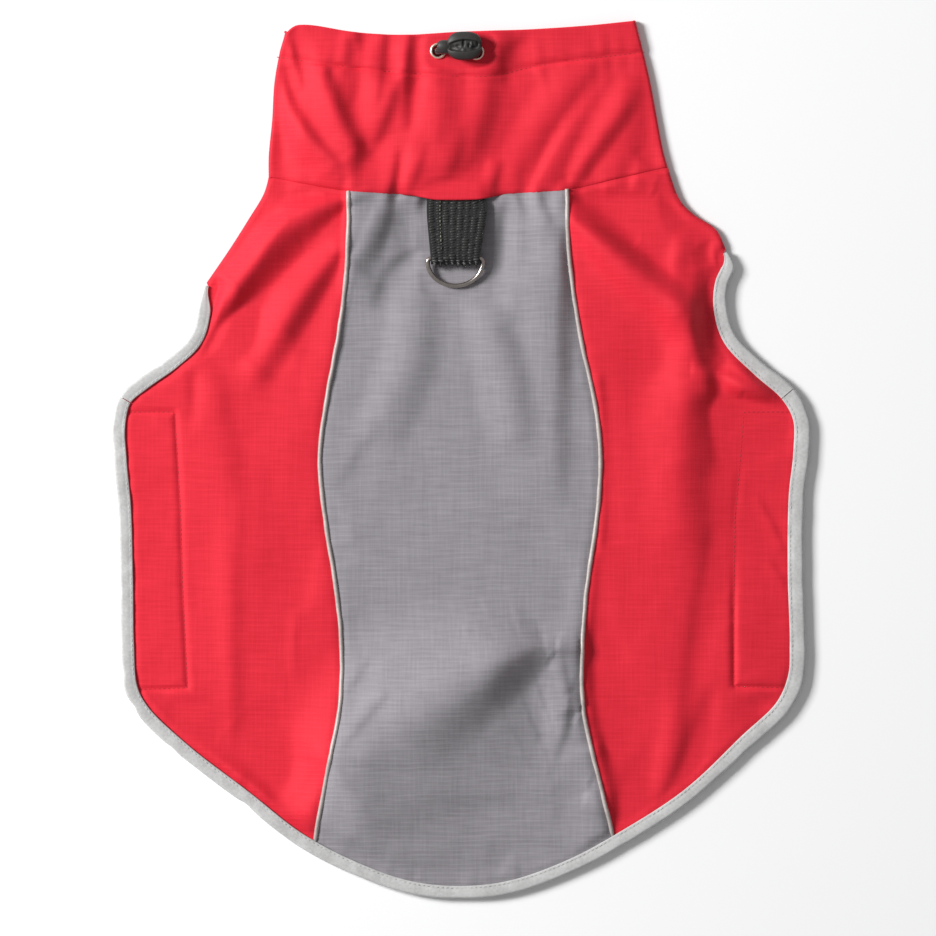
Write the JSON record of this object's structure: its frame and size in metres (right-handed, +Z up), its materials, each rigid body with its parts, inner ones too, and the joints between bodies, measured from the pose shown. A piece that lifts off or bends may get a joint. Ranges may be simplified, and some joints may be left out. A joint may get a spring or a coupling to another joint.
{
  "type": "dog vest",
  "caption": "Dog vest with a funnel collar, contrast back panel, bound edges and a leash D-ring, laid flat with its back up.",
  "frame": {"origin": "centre of the vest's outline, on the surface it lies on", "axes": "+Y towards the collar, +Z up out of the vest's back, +X to the right as seen from above"},
  "size_m": [0.2794, 0.352, 0.0129],
  "materials": {
    "red_ripstop": "coated ripstop weave, slight sheen",
    "grey_ripstop": "coated ripstop weave, slight sheen",
    "binding_tape": "matt folded tape",
    "reflective_piping": "retroreflective piping",
    "black_webbing": "woven webbing",
    "closure_tape": "hook and loop tape",
    "steel_wire": "plated welded wire",
    "eyelet_brass": "pale plated brass",
    "lock_plastic": "moulded, satin",
    "elastic_cord": "braided cover over rubber"
  },
  "bodies": {
    "vest": {"collar": "red_ripstop", "side_panel_left": "red_ripstop", "side_panel_right": "red_ripstop", "chest_panel": "red_ripstop", "back_panel": "grey_ripstop", "piping_left": "reflective_piping", "piping_right": "reflective_piping", "hem_binding": "binding_tape", "armhole_binding_left": "binding_tape", "armhole_binding_right": "binding_tape", "chest_binding": "binding_tape", "hook_tape_left": "closure_tape", "hook_tape_right": "closure_tape", "loop_tape_left": "closure_tape", "loop_tape_right": "closure_tape", "webbing_loop": "black_webbing", "eyelet_left": "eyelet_brass", "eyelet_right": "eyelet_brass", "cord_lock": "lock_plastic", "elastic_cord": "elastic_cord"},
    "d_ring": {"d_ring": "steel_wire"}
  },
  "joints": [
    {"name": "d_ring_swing", "type": "hinge", "parent": "vest", "child": "d_ring", "pos_m": [-0.0023, 0.0802, 0.0064], "axis": [-1, 0, 0], "range_deg": [0, 125]}
  ]
}
